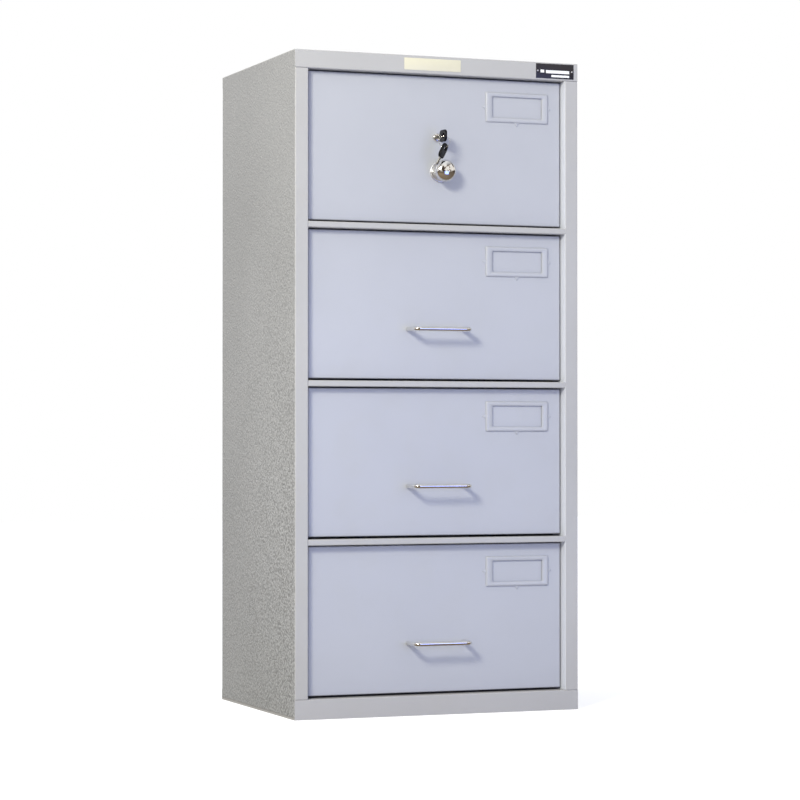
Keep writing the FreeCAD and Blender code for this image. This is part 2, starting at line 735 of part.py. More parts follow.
def knob_rose():
    """Round plate behind the knob, with a hub through the drawer front that carries the spindle."""
    body = new_body("knob_rose")
    turned(body, [("spindle + running_fit", "face_skin + 3"), ("spindle + running_fit", "-rose_thick"),
                  ("rose - 2", "-rose_thick"), ("rose", "-rose_thick + 2"), ("rose", "0"), ("rose_hub", "0"),
                  ("rose_hub", "face_skin + 3")])
    place(body, "knob_place", "face_front", f"{bay_floor(1)} + knob_height")
    return node(body, "knob_rose")


def knob():
    """Domed knob on a neck and spindle, with a crank and pin inside the drawer front."""
    body = new_body("knob_shank")
    crank_rear = "bolt_front - face_front - 0.5"
    turned(body, [("0", f"{crank_rear} - crank_thick + 1"), ("0", "-knob_reach + knob_dome"),
                  ("knob_neck", "-knob_reach + knob_dome"), ("knob_neck", "-rose_thick - 0.3"),
                  ("spindle", "-rose_thick - 0.3"), ("spindle", f"{crank_rear} - crank_thick + 1")])
    ball = doc.addObject("Part::Ellipsoid", "knob_ball_shape")
    ball.setExpression("Radius1", bound("knob_dome"))
    ball.setExpression("Radius2", bound("knob_ball"))
    ball.setExpression("Radius3", bound("knob_ball"))
    ball.Placement.Rotation = FORWARDS
    place(ball, "0", "-knob_reach + knob_dome", "0")
    across = "crank * cos(30)"
    down = "-crank * sin(30)"
    arm = new_body("knob_crank")
    plate = [("-5.5", "5.5"), ("-5.5", "-5.5"), (f"{across} + 1", f"{down} - 4.5"),
             (f"{across} + 4.5", f"{down} + 1"), ("3", "5.5")]
    prism(arm, "XZ_Plane", [plate], f"{crank_rear} - crank_thick", "crank_thick")
    prism(arm, "XZ_Plane", [Round(across, down, "crank_pin")], f"{crank_rear} - 1", "bolt_thick + 2.5")
    thing = joined("knob_all", body, ball, arm)
    place(thing, "knob_place", "face_front", f"{bay_floor(1)} + knob_height")
    return node(thing, "knob")


def lock_bolt():
    """Flat bolt lifted by the crank pin through the top of the drawer front into the head."""
    body = new_body("lock_bolt")
    pin_z = "knob_height - crank * sin(30)"
    plate = [("-bolt_half", f"{pin_z} - 12"), ("bolt_half + 4", f"{pin_z} - 12"),
             ("bolt_half + 4", f"{pin_z} + 14"), ("bolt_half", f"{pin_z} + 18"),
             ("bolt_half", "face_high - 1"), ("-bolt_half", "face_high - 1")]
    prism(body, "XZ_Plane", [plate], "0", "bolt_thick")
    reach = "crank_pin + pin_play"
    across = "crank * cos(30)"
    slot = [(f"{across} - {reach} - 0.5", f"{pin_z} - ({reach})"), (f"{across} + {reach} + 2.2", f"{pin_z} - ({reach})"),
            (f"{across} + {reach} + 2.2", f"{pin_z} + {reach}"), (f"{across} - {reach} - 0.5", f"{pin_z} + {reach}")]
    cut(body, "XZ_Plane", [slot], "-1", "bolt_thick + 2")
    place(body, "knob_place", "bolt_front", bay_floor(1))
    return node(body, "lock_bolt")


def bolt_guides():
    """Two straps on the inner front that keep the bolt upright."""
    straps = []
    inner = "bolt_half + guide_play"
    for height in ("knob_height + 40", "face_high - 40"):
        block = box("strap_block", (f"knob_place - ({inner}) - guide_wall", "bolt_front - guide_play - 1", height),
                    (f"2 * ({inner} + guide_wall)", "1 + guide_play + bolt_thick + 1.8", "guide_high"))
        room = box("strap_room", (f"knob_place - ({inner})", "bolt_front - guide_play", f"{height} - 1"),
                   (f"2 * ({inner})", "guide_play + bolt_thick + 3", "guide_high + 2"))
        straps.append(less("strap", block, room))
    return group("bolt_guides", straps, z=bay_floor(1))


def lock_bar():
    """Upright bar at the back whose prongs rise behind the drawers' catches."""
    bar = box("bar_blade", ("bar_place - bar_half", "tray_rear + bar_off_tray", "bar_end"),
              ("2 * bar_half", "bar_thick", "tall - 2 * bar_end"))
    fingers = []
    for number in DRAWERS:
        top = f"{bay_floor(number)} + catch_height - catch_drop - prong_gap"
        fingers.append(box("bar_shelf",
                           ("bar_place - bar_half + 2", "tray_rear + prong_off_tray", f"{top} - prong_drop"),
                           ("2 * bar_half - 4", "bar_off_tray - prong_off_tray + 1", "bar_thick")))
        fingers.append(box("bar_prong",
                           ("bar_place - bar_half + 2", "tray_rear + prong_off_tray", f"{top} - prong_drop"),
                           ("2 * bar_half - 4", "bar_thick", "prong_drop")))
    return node(joined("lock_bar_all", bar, *fingers), "lock_bar")


def bar_guides():
    """Straps on the back sheet that the bar slides in."""
    straps = []
    bar_front = "tray_rear + bar_off_tray"
    for height in ("tall * 0.12", "tall * 0.5", "tall * 0.86"):
        low = ("bar_place - bar_half - guide_play - guide_wall", f"{bar_front} - guide_play - 1", height)
        block = box("guide_block", low, ("2 * (bar_half + guide_play + guide_wall)",
                                         f"rear - 3 * skin - ({bar_front}) + guide_play + 1", "guide_high"))
        room = box("guide_room", ("bar_place - bar_half - guide_play", f"{bar_front} - guide_play", f"{height} - 1"),
                   ("2 * (bar_half + guide_play)", "bar_thick + 2 * guide_play", "guide_high + 2"))
        straps.append(less("guide", block, room))
    return group("bar_guides", straps)


# ---- assembly ------------------------------------------------------------------------------------

def build():
    side_panel("side_panel_left", LEFT)
    side_panel("side_panel_right", RIGHT)
    top_panel()
    base_pan()
    back_panel()
    back_rivets()
    rear_post("rear_post_left", LEFT)
    rear_post("rear_post_right", RIGHT)
    plates()
    for number in DRAWERS[:-1]:
        divider_rail(number)
    for number in DRAWERS:
        slides(number)
        face(number)
        tray(number)
        file_rails(number)
        label_holder(number)
    for number in DRAWERS[1:]:
        handle(number)
        handle_screws(number)
    lock_cylinder()
    lock_plug()
    key()
    key_ring()
    spare_key()
    knob_rose()
    knob()
    lock_bolt()
    bolt_guides()
    lock_bar()
    bar_guides()


def check():
    """Stop if any object failed or any piece has no sound shape."""
    for thing in doc.Objects:
        if "Invalid" in thing.State or "Error" in thing.State:
            raise RuntimeError(f"{thing.Name} failed: {thing.State}")
    for thing in nodes:
        if thing.Shape.isNull() or not thing.Shape.isValid():
            raise RuntimeError(f"{thing.Label} has no sound shape")


build()
doc.recompute()
check()
os.makedirs("parts", exist_ok=True)
for piece in nodes:
    piece.Shape.exportStep(f"parts/{piece.Label}.step")
print(len(nodes), "pieces written")
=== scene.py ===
# %% [markdown]
# # A four-drawer steel filing cabinet
#
# This lesson dresses a finished engineering model. The model already has every sheet, slide and
# lock part at its true size, so nothing here moves or resizes it. What is added is what the eye
# judges: paint that looks sprayed, a textured side, polished chrome, and small fittings with
# softer shapes than a machine drawing needs.
#
# Everything is in metres. The origin is on the floor under the middle of the cabinet, +X is to the
# right of someone who faces the drawers, and +Y runs from the drawers to the back.

# %% Load the frame
import math

import bmesh
import bpy
from mathutils import Matrix, Vector


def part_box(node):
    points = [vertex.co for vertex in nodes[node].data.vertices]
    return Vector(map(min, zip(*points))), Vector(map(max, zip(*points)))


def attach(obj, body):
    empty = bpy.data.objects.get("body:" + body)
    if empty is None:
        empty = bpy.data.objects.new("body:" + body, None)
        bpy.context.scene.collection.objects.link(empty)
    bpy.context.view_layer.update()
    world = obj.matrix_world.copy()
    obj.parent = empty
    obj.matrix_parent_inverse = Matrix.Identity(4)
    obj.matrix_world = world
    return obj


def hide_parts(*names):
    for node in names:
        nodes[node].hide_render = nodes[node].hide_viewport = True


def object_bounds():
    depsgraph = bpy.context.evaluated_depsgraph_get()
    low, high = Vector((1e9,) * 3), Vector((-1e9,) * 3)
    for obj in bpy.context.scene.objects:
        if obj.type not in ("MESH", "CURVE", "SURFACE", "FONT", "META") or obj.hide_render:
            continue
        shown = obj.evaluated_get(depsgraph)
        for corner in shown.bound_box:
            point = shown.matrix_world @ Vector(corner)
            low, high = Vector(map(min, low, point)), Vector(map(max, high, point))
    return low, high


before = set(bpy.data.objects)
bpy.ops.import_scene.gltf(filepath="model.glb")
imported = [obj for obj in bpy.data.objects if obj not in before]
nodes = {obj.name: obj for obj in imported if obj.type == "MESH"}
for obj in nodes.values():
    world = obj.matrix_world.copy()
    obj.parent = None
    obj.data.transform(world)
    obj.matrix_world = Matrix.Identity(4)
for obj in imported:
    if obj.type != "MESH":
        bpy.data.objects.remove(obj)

cad_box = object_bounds()
print("CAD pieces:", len(nodes))

# %% [markdown]
# ## The camera
#
# The camera stands to the left of the cabinet's front and well back, so that verticals stay almost
# parallel. A long lens from a distance does that without any shift.

# %% Place the camera
camera_data = bpy.data.cameras.new("camera")
camera_data.sensor_width = 36
camera_data.lens = 122.4
camera_data.clip_end = 60
camera = bpy.data.objects.new("camera", camera_data)
bpy.context.scene.collection.objects.link(camera)
camera_yaw = math.radians(21.36)
camera_pitch = math.radians(0.78)
camera.location = (-2.059, -5.284, 0.556)
camera.rotation_euler = (math.radians(90) + camera_pitch, 0, -camera_yaw)
bpy.context.scene.camera = camera
print("lens", camera_data.lens, "mm")

# %% [markdown]
# ## The room
#
# A pale floor and a white room give the even light of a catalogue picture. To the camera
# the floor glows a little, so that it runs into the white room with no line where they meet.
# Polished metal needs something to reflect, though, or it looks like grey plastic. So mirror rays
# alone see a workshop: brown boards for a floor and bright windows between dark walls. The camera
# sees plain white, which keeps the outline of the cabinet clean.

# %% Floor and world
floor_mesh = bpy.data.meshes.new("floor")
shape = bmesh.new()
bmesh.ops.create_grid(shape, x_segments=1, y_segments=1, size=12)
shape.to_mesh(floor_mesh)
shape.free()
floor = bpy.data.objects.new("floor", floor_mesh)
bpy.context.scene.collection.objects.link(floor)


def add(tree, kind, sockets, **settings):
    """Add a shader node, set its options, and give each named input a value or a link."""
    node = tree.nodes.new(kind)
    for name, setting in settings.items():
        setattr(node, name, setting)
    for key, wanted in sockets.items():
        if isinstance(wanted, bpy.types.NodeSocket):
            tree.links.new(wanted, node.inputs[key])
        else:
            node.inputs[key].default_value = wanted
    return node


def ramp(tree, factor, stops):
    """A colour ramp with the given (position, colour) stops."""
    node = add(tree, "ShaderNodeValToRGB", {"Fac": factor})
    elements = node.color_ramp.elements
    elements[0].position, elements[0].color = stops[0][0], (*stops[0][1], 1)
    elements[1].position, elements[1].color = stops[-1][0], (*stops[-1][1], 1)
    for position, colour in stops[1:-1]:
        elements.new(position).color = (*colour, 1)
    return node.outputs["Color"]


floor_white = bpy.data.materials.new("floor_white")
floor_white.use_nodes = True
floor_tree = floor_white.node_tree
floor_tree.nodes.clear()
pale = add(floor_tree, "ShaderNodeBsdfDiffuse", {"Color": (0.62, 0.61, 0.60, 1)})
paper = add(floor_tree, "ShaderNodeEmission", {"Color": (1, 1, 1, 1), "Strength": 0.62})
lit_paper = add(floor_tree, "ShaderNodeAddShader", {0: pale.outputs[0], 1: paper.outputs[0]})
boards = add(floor_tree, "ShaderNodeBsdfDiffuse", {"Color": (0.20, 0.15, 0.10, 1)})
floor_ray = add(floor_tree, "ShaderNodeLightPath", {})
bounce = add(floor_tree, "ShaderNodeMixShader", {0: floor_ray.outputs["Is Glossy Ray"], 1: pale.outputs[0],
                                                 2: boards.outputs[0]})
floor_mix = add(floor_tree, "ShaderNodeMixShader", {0: floor_ray.outputs["Is Camera Ray"],
                                                    1: bounce.outputs[0], 2: lit_paper.outputs[0]})
add(floor_tree, "ShaderNodeOutputMaterial", {"Surface": floor_mix.outputs[0]})
floor_mesh.materials.append(floor_white)

world = bpy.data.worlds.new("white_room")
bpy.context.scene.world = world
world.use_nodes = True
sky = world.node_tree
sky_place = add(sky, "ShaderNodeTexCoord", {}).outputs["Generated"]
sky_axes = add(sky, "ShaderNodeSeparateXYZ", {"Vector": sky_place})
windows = add(sky, "ShaderNodeTexNoise", {"Vector": sky_place, "Scale": 2.3, "Detail": 1.0})
window_shapes = ramp(sky, windows.outputs[0],
                     [(0.42, (0.05, 0.035, 0.025)), (0.50, (0.13, 0.09, 0.06)), (0.53, (1.0, 0.94, 0.86)),
                      (0.60, (1.0, 0.98, 0.96))])
overhead = add(sky, "ShaderNodeMapRange", {"Value": sky_axes.outputs["Z"], "From Min": 0.55,
                                           "From Max": 0.95})
workshop = add(sky, "ShaderNodeMix", {0: overhead.outputs[0], 6: window_shapes, 7: (0.95, 0.97, 1.0, 1)},
               data_type="RGBA")
room_light = add(sky, "ShaderNodeBackground", {"Color": (0.86, 0.90, 1.0, 1), "Strength": 0.84})
mirrored = add(sky, "ShaderNodeBackground", {"Color": workshop.outputs[2], "Strength": 1.0})
white_view = add(sky, "ShaderNodeBackground", {"Color": (1, 1, 1, 1), "Strength": 1.0})
seen = add(sky, "ShaderNodeLightPath", {})
to_metal = add(sky, "ShaderNodeMixShader", {0: seen.outputs["Is Glossy Ray"], 1: room_light.outputs[0],
                                            2: mirrored.outputs[0]})
sky_mix = add(sky, "ShaderNodeMixShader", {0: seen.outputs["Is Camera Ray"], 1: to_metal.outputs[0],
                                           2: white_view.outputs[0]})
sky.links.new(sky_mix.outputs[0], sky.nodes["World Output"].inputs["Surface"])
bpy.context.scene.view_settings.view_transform = "Standard"
print("world nodes:", len(sky.nodes))

# %% [markdown]
# ## Lamps
#
# One warm lamp, high on the left and in front, does most of the work and leaves soft shadows to the
# right of the knob and under the handles. A blue one close to the floor cools the lower drawers, and
# a small one grazes the side from behind so that its texture reads.

# %% Three soft lamps
def area_lamp(name, place, aim, size, watts, colour):
    """A square lamp that looks at a point."""
    data = bpy.data.lights.new(name, "AREA")
    data.size = size
    data.energy = watts
    data.color = colour
    lamp = bpy.data.objects.new(name, data)
    bpy.context.scene.collection.objects.link(lamp)
    lamp.location = place
    lamp.rotation_euler = (Vector(aim) - Vector(place)).to_track_quat("-Z", "Y").to_euler()
    return lamp


area_lamp("key_lamp", (-2.3, -2.75, 2.3), (0, 0, 1.25), 0.7, 108, (1.0, 0.99, 0.86))
area_lamp("fill_lamp", (0.6, -2.8, 0.25), (0, 0, 0.1), 1.4, 21, (0.24, 0.36, 1.0))
area_lamp("side_lamp", (-2.4, 0.3, 2.2), (-0.3, -0.1, 0.5), 0.6, 10, (1.0, 0.98, 0.95))

# %% [markdown]
# ## Shared effects
#
# Several finishes show the same effects at different strengths: sprayed paint is never quite flat
# and never quite one colour, and sheet steel has a direction. Each effect is a node group with
# named inputs, so that a material only says how much of it there is.

# %% A helper for node groups
def new_group(name, inputs, outputs):
    """A shader node group with the given sockets, and its two end nodes."""
    group = bpy.data.node_groups.new(name, "ShaderNodeTree")
    for label, kind, start in inputs:
        socket = group.interface.new_socket(label, in_out="INPUT", socket_type=kind)
        socket.default_value = start
    for label, kind in outputs:
        group.interface.new_socket(label, in_out="OUTPUT", socket_type=kind)
    ends = group.nodes.new("NodeGroupInput"), group.nodes.new("NodeGroupOutput")
    return group, ends[0].outputs, ends[1].inputs


FLOAT = "NodeSocketFloat"
COLOUR = "NodeSocketColor"
VECTOR = "NodeSocketVector"
HERE = ("Position", VECTOR, (0, 0, 0))
print("socket kinds:", FLOAT, COLOUR, VECTOR)

# %% [markdown]
# ### Sprayed skin
#
# Enamel pulls itself into low round swells as it dries, about two millimetres from one to the next,
# with a much finer dust of spray on top. Two noise textures added together give that height.

# %% Sprayed skin group
spray, given, gives = new_group("sprayed_skin", [HERE, ("Swells", FLOAT, 380.0), ("Dust", FLOAT, 0.3)],
                                [("Height", FLOAT)])
swell = add(spray, "ShaderNodeTexNoise", {"Vector": given["Position"], "Scale": given["Swells"],
                                          "Detail": 1.0})
dust = add(spray, "ShaderNodeTexNoise", {"Vector": given["Position"], "Scale": 2400.0, "Detail": 1.0})
skin_height = add(spray, "ShaderNodeMath", {0: dust.outputs[0], 1: given["Dust"], 2: swell.outputs[0]},
                  operation="MULTIPLY_ADD")
spray.links.new(skin_height.outputs[0], gives["Height"])
print(spray.name, "has", len(spray.nodes), "nodes")

# %% [markdown]
# ### Uneven paint
#
# A panel this size is sprayed in passes, so its colour drifts a little from place to place. Hands
# and dust leave patches that are duller, and the lowest part near the floor takes on a warmer
# tone. The group returns both the colour and the roughness that go with those patches.

# %% Uneven paint group
uneven, given, gives = new_group(
    "uneven_paint",
    [HERE, ("Colour", COLOUR, (0.5, 0.5, 0.5, 1)), ("Soiled", COLOUR, (0.4, 0.38, 0.34, 1)),
     ("Drift", FLOAT, 0.06), ("Soil", FLOAT, 0.25), ("Roughness", FLOAT, 0.4)],
    [("Colour", COLOUR), ("Roughness", FLOAT)])
passes = add(uneven, "ShaderNodeTexNoise", {"Vector": given["Position"], "Scale": 2.6, "Detail": 2.0})
drift = add(uneven, "ShaderNodeMapRange", {"Value": passes.outputs[0], "From Min": 0.3, "From Max": 0.7,
                                           "To Min": -1.0, "To Max": 1.0})
drift_size = add(uneven, "ShaderNodeMath", {0: drift.outputs[0], 1: given["Drift"]}, operation="MULTIPLY")
shade = add(uneven, "ShaderNodeMath", {0: drift_size.outputs[0], 1: 1.0}, operation="ADD")
toned = add(uneven, "ShaderNodeVectorMath", {0: given["Colour"], 3: shade.outputs[0]}, operation="SCALE")
height = add(uneven, "ShaderNodeSeparateXYZ", {"Vector": given["Position"]})
# Below 0.35 m the colour moves towards the soiled tone, darker and warmer towards the bottom.
low_down = add(uneven, "ShaderNodeMapRange", {"Value": height.outputs["Z"], "From Min": 0.0, "From Max": 0.35,
                                              "To Min": 1.0, "To Max": 0.0}, interpolation_type="SMOOTHSTEP")
smudge = add(uneven, "ShaderNodeTexNoise", {"Vector": given["Position"], "Scale": 14.0, "Detail": 4.0,
                                            "Roughness": 0.6})
patches = add(uneven, "ShaderNodeMapRange", {"Value": smudge.outputs[0], "From Min": 0.48, "From Max": 0.72})
patches_and_low_tone = add(uneven, "ShaderNodeMath", {0: patches.outputs[0], 1: 0.35, 2: low_down.outputs[0]},
           operation="MULTIPLY_ADD")
patches_and_low_tone_size = add(uneven, "ShaderNodeMath", {0: patches_and_low_tone.outputs[0], 1: given["Soil"]}, operation="MULTIPLY",
                use_clamp=True)
soiled = add(uneven, "ShaderNodeMix", {0: patches_and_low_tone_size.outputs[0], 6: toned.outputs[0], 7: given["Soiled"]},
             data_type="RGBA")
uneven.links.new(soiled.outputs[2], gives["Colour"])
dulled = add(uneven, "ShaderNodeMath", {0: patches.outputs[0], 1: 0.12, 2: given["Roughness"]},
             operation="MULTIPLY_ADD", use_clamp=True)
uneven.links.new(dulled.outputs[0], gives["Roughness"])
print(uneven.name, "has", len(uneven.nodes), "nodes")

# %% [markdown]
# ### Pebbled coat
#
# The outside walls have a coarse splatter coat: drops of paint that stand up like fine leather.
# Smooth cells give round drops, and a noise laid over them keeps the pattern from looking printed.

# %% Pebbled coat group
pebble, given, gives = new_group("pebbled_coat", [HERE, ("Drops", FLOAT, 260.0)],
                                 [("Height", FLOAT), ("Specks", FLOAT)])
wander = add(pebble, "ShaderNodeTexNoise", {"Vector": given["Position"], "Scale": 90.0, "Detail": 2.0})
shift = add(pebble, "ShaderNodeVectorMath", {0: wander.outputs["Color"], 3: 0.006}, operation="SCALE")
bent = add(pebble, "ShaderNodeVectorMath", {0: given["Position"], 1: shift.outputs[0]}, operation="ADD")
drops = add(pebble, "ShaderNodeTexVoronoi", {"Vector": bent.outputs[0], "Scale": given["Drops"],
                                             "Smoothness": 0.6}, feature="SMOOTH_F1")
round_drops = add(pebble, "ShaderNodeMapRange", {"Value": drops.outputs["Distance"], "From Min": 0.15,
                                                 "From Max": 0.75, "To Min": 1.0, "To Max": 0.0})
clumps = add(pebble, "ShaderNodeTexNoise", {"Vector": given["Position"], "Scale": 170.0, "Detail": 3.0})
coat_height = add(pebble, "ShaderNodeMath", {0: round_drops.outputs[0], 1: 0.6, 2: clumps.outputs[0]},
                  operation="MULTIPLY_ADD")
pebble.links.new(coat_height.outputs[0], gives["Height"])
specks = add(pebble, "ShaderNodeMapRange", {"Value": coat_height.outputs[0],
                                            "From Min": 0.55, "From Max": 1.0,
                                            "To Min": -1.0, "To Max": 1.0})
pebble.links.new(specks.outputs[0], gives["Specks"])
print(pebble.name, "has", len(pebble.nodes), "nodes")

# %% [markdown]
# ### Drawn metal
#
# Rolled and drawn steel carries fine lines along the way it was worked. Stretching a noise along
# one axis gives those lines, and a slow cloudy noise stands for the spangle and finger marks.

# %% Drawn metal group
drawn, given, gives = new_group(
    "drawn_metal",
    [HERE, ("Stretch", VECTOR, (1, 30, 30)), ("Colour", COLOUR, (0.6, 0.6, 0.6, 1)),
     ("Clouds", FLOAT, 40.0), ("Drift", FLOAT, 0.15), ("Roughness", FLOAT, 0.3)],
    [("Colour", COLOUR), ("Roughness", FLOAT), ("Height", FLOAT)])
stretched = add(drawn, "ShaderNodeVectorMath", {0: given["Position"], 1: given["Stretch"]},
                operation="MULTIPLY")
lines = add(drawn, "ShaderNodeTexNoise", {"Vector": stretched.outputs[0], "Scale": 60.0, "Detail": 3.0})
clouds = add(drawn, "ShaderNodeTexNoise", {"Vector": given["Position"], "Scale": given["Clouds"],
                                           "Detail": 3.0})
cloudy = add(drawn, "ShaderNodeMapRange", {"Value": clouds.outputs[0], "From Min": 0.3, "From Max": 0.7,
                                           "To Min": -1.0, "To Max": 1.0})
cloud_shade = add(drawn, "ShaderNodeMath", {0: cloudy.outputs[0], 1: given["Drift"], 2: 1.0},
                  operation="MULTIPLY_ADD")
metal_tone = add(drawn, "ShaderNodeVectorMath", {0: given["Colour"], 3: cloud_shade.outputs[0]},
                 operation="SCALE")
drawn.links.new(metal_tone.outputs[0], gives["Colour"])
worn = add(drawn, "ShaderNodeMath", {0: lines.outputs[0], 1: 0.12, 2: given["Roughness"]},
           operation="MULTIPLY_ADD")
drawn.links.new(worn.outputs[0], gives["Roughness"])
drawn.links.new(lines.outputs[0], gives["Height"])
print(drawn.name, "has", len(drawn.nodes), "nodes")

# %% [markdown]
# ## Finishes
#
# Each finish is one material. They all start the same way, from the piece's own coordinates, so
# that the pattern keeps its real size and stays on the steel when a drawer moves.

# %% A helper that starts a material
def start_material(name, **fixed):
    """A new material: its tree, its shader with fixed values set, and the place on the piece."""
    material = bpy.data.materials.new(name)
    material.use_nodes = True
    tree = material.node_tree
    shader = tree.nodes["Principled BSDF"]
    for label, amount in fixed.items():
        shader.inputs[label.replace("_", " ")].default_value = amount
    here = add(tree, "ShaderNodeTexCoord", {}).outputs["Object"]
    return material, tree, shader, here


def grouped(tree, group, sockets):
    """Place a shared effect in a material."""
    return add(tree, "ShaderNodeGroup", sockets, node_tree=group)


def bump(tree, shader, height, strength, distance):
    """Let a height push the shading about."""
    push = add(tree, "ShaderNodeBump", {"Height": height, "Strength": strength, "Distance": distance})
    tree.links.new(push.outputs["Normal"], shader.inputs["Normal"])


print("ready for finishes")

# %% [markdown]
# ### Enamel
#
# The frame and the drawer fronts are the same sort of stove enamel in two close greys: the frame a
# warm one and the drawer fronts a bluish one. Inside, the steel is left in a cream undercoat. One
# function makes all three.

# %% Enamel materials
def enamel(name, colour, soiled, gloss, drift=0.04, soil=0.2, swells=380.0):
    """Sprayed paint on sheet steel."""
    material, tree, shader, here = start_material(name, IOR=1.48, Specular_IOR_Level=0.45)
    tone = grouped(tree, uneven, {"Position": here, "Colour": (*colour, 1), "Soiled": (*soiled, 1),
                                  "Drift": drift, "Soil": soil, "Roughness": gloss})
    tree.links.new(tone.outputs["Colour"], shader.inputs["Base Color"])
    tree.links.new(tone.outputs["Roughness"], shader.inputs["Roughness"])
    skin = grouped(tree, spray, {"Position": here, "Swells": swells, "Dust": 0.25})
    bump(tree, shader, skin.outputs["Height"], 0.10, 0.0006)
    return material


frame_grey = (0.435, 0.425, 0.415)
frame_paint = enamel("frame_enamel", frame_grey, (0.36, 0.33, 0.29), 0.36)
face_paint = enamel("drawer_enamel", (0.44, 0.445, 0.475), (0.37, 0.37, 0.39), 0.34, drift=0.03)
inner_paint = enamel("inner_enamel", (0.52, 0.47, 0.40), (0.36, 0.31, 0.25), 0.45)
print("enamels:", frame_paint.name, face_paint.name, inner_paint.name)

# %% [markdown]
# ### Splatter-coated side
#
# A side panel is one folded sheet. Its flat outer wall has the splatter coat, and the narrow front
# fold has smooth enamel like the rest of the frame, with the join hidden in the bend. So the
# material asks how far a point is from the middle of the cabinet, and switches at the outer skin.
# The jamb beside the drawers is given a paler colour, a painted highlight for the light it catches.

# %% Side material
wall = cad_box[1].x
stile = 0.028
side_paint, tree, shader, here = start_material("splatter_side", IOR=1.48, Specular_IOR_Level=0.4)
tone = grouped(tree, uneven, {"Position": here, "Colour": (*frame_grey, 1), "Soiled": (0.36, 0.33, 0.29, 1),
                              "Drift": 0.05, "Soil": 0.25, "Roughness": 0.38})
# The outer wall's tone is darker than the frame grey, as painted shade for the dimmer light on the side.
side_tone_and_shade = grouped(tree, uneven, {"Position": here, "Colour": (0.350, 0.346, 0.342, 1),
                                   "Soiled": (0.28, 0.28, 0.265, 1), "Drift": 0.05, "Soil": 0.3,
                                   "Roughness": 0.46})
coat = grouped(tree, pebble, {"Position": here, "Drops": 220.0})
axes = add(tree, "ShaderNodeSeparateXYZ", {"Vector": here})
to_front = add(tree, "ShaderNodeMapRange", {"Value": axes.outputs["Y"], "From Min": 0.20, "From Max": -0.20,
                                            "To Min": 0.35, "To Max": 1.0})
to_foot = add(tree, "ShaderNodeMapRange", {"Value": axes.outputs["Z"], "From Min": 1.2, "From Max": 0.4,
                                           "To Min": 0.1, "To Max": 1.0})
heavy = add(tree, "ShaderNodeMath", {0: to_front.outputs[0], 1: to_foot.outputs[0]}, operation="MULTIPLY")
specks = add(tree, "ShaderNodeMath", {0: coat.outputs["Specks"], 1: heavy.outputs[0]}, operation="MULTIPLY")
speck_size = add(tree, "ShaderNodeMath", {0: specks.outputs[0], 1: 0.32, 2: 1.0}, operation="MULTIPLY_ADD")
speckled = add(tree, "ShaderNodeVectorMath", {0: side_tone_and_shade.outputs["Colour"], 3: speck_size.outputs[0]},
               operation="SCALE")
from_middle = add(tree, "ShaderNodeMath", {0: axes.outputs["X"]}, operation="ABSOLUTE")
outer = add(tree, "ShaderNodeMapRange", {"Value": from_middle.outputs[0], "From Min": wall - 0.0006,
                                         "From Max": wall - 0.0001})
# The jamb returns beside the drawers get a paler, bluer colour: a painted highlight for the light they catch
# from the left.
jamb_highlight = add(tree, "ShaderNodeMapRange", {"Value": from_middle.outputs[0], "From Min": wall - stile + 0.0008,
                                        "From Max": wall - stile + 0.0004})
smooth_tone_and_jamb_highlight = add(tree, "ShaderNodeMix", {0: jamb_highlight.outputs[0], 6: tone.outputs["Colour"],
                                          7: (0.66, 0.67, 0.72, 1)}, data_type="RGBA")
side_colour = add(tree, "ShaderNodeMix", {0: outer.outputs[0], 6: smooth_tone_and_jamb_highlight.outputs[2],
                                          7: speckled.outputs[0]}, data_type="RGBA")
tree.links.new(side_colour.outputs[2], shader.inputs["Base Color"])
tree.links.new(side_tone_and_shade.outputs["Roughness"], shader.inputs["Roughness"])
coat_height = add(tree, "ShaderNodeMath", {0: coat.outputs["Height"], 1: outer.outputs[0]},
                  operation="MULTIPLY")
bump(tree, shader, coat_height.outputs[0], 0.5, 0.0022)
print("outer wall at", round(wall, 4))

# %% [markdown]
# ### Metals
#
# The slides, lock bar and guides are zinc-plated: dull, slightly blue, with lines along the draw.
# The knob, handles and lock are chrome, which is nearly a mirror, so only smudges break it up. The
# ring is nickel, a little warmer, the key blades are steel painted darker as painted shade, and the rose is
# satin chrome.

# %% Metal materials
def metal(name, colour, gloss, stretch, clouds, drift, relief):
    """A bare or plated metal."""
    material, tree, shader, here = start_material(name, Metallic=1.0)
    look = grouped(tree, drawn, {"Position": here, "Stretch": stretch, "Colour": (*colour, 1),
                                 "Clouds": clouds, "Drift": drift, "Roughness": gloss})
    tree.links.new(look.outputs["Colour"], shader.inputs["Base Color"])
    tree.links.new(look.outputs["Roughness"], shader.inputs["Roughness"])
    bump(tree, shader, look.outputs["Height"], relief, 0.0004)
    return material


zinc = metal("zinc_plate", (0.62, 0.64, 0.66), 0.30, (12, 1, 12), 70.0, 0.12, 0.12)
chrome = metal("chrome_plate", (0.80, 0.79, 0.77), 0.05, (3, 3, 3), 120.0, 0.03, 0.01)
nickel = metal("nickel_wire", (0.72, 0.70, 0.66), 0.18, (4, 4, 20), 200.0, 0.06, 0.03)
satin = metal("satin_chrome", (0.82, 0.82, 0.84), 0.30, (6, 6, 6), 150.0, 0.03, 0.02)
# The key blades' colour is darker than plain steel, as painted shade.
shaded_key_steel = metal("shaded_key_steel", (0.30, 0.29, 0.28), 0.22, (4, 4, 20), 200.0, 0.10, 0.05)
aluminium = metal("rivet_aluminium", (0.74, 0.74, 0.75), 0.32, (8, 8, 8), 300.0, 0.08, 0.08)
print("metals:", zinc.name, chrome.name, nickel.name, satin.name, shaded_key_steel.name, aluminium.name)

# %% [markdown]
# ### Plastic and printed plates
#
# The key bows are black moulded plastic with a fine spark finish. The two plates on the top rail
# are thin anodised or printed metal: one cream, one black with blank white fields.

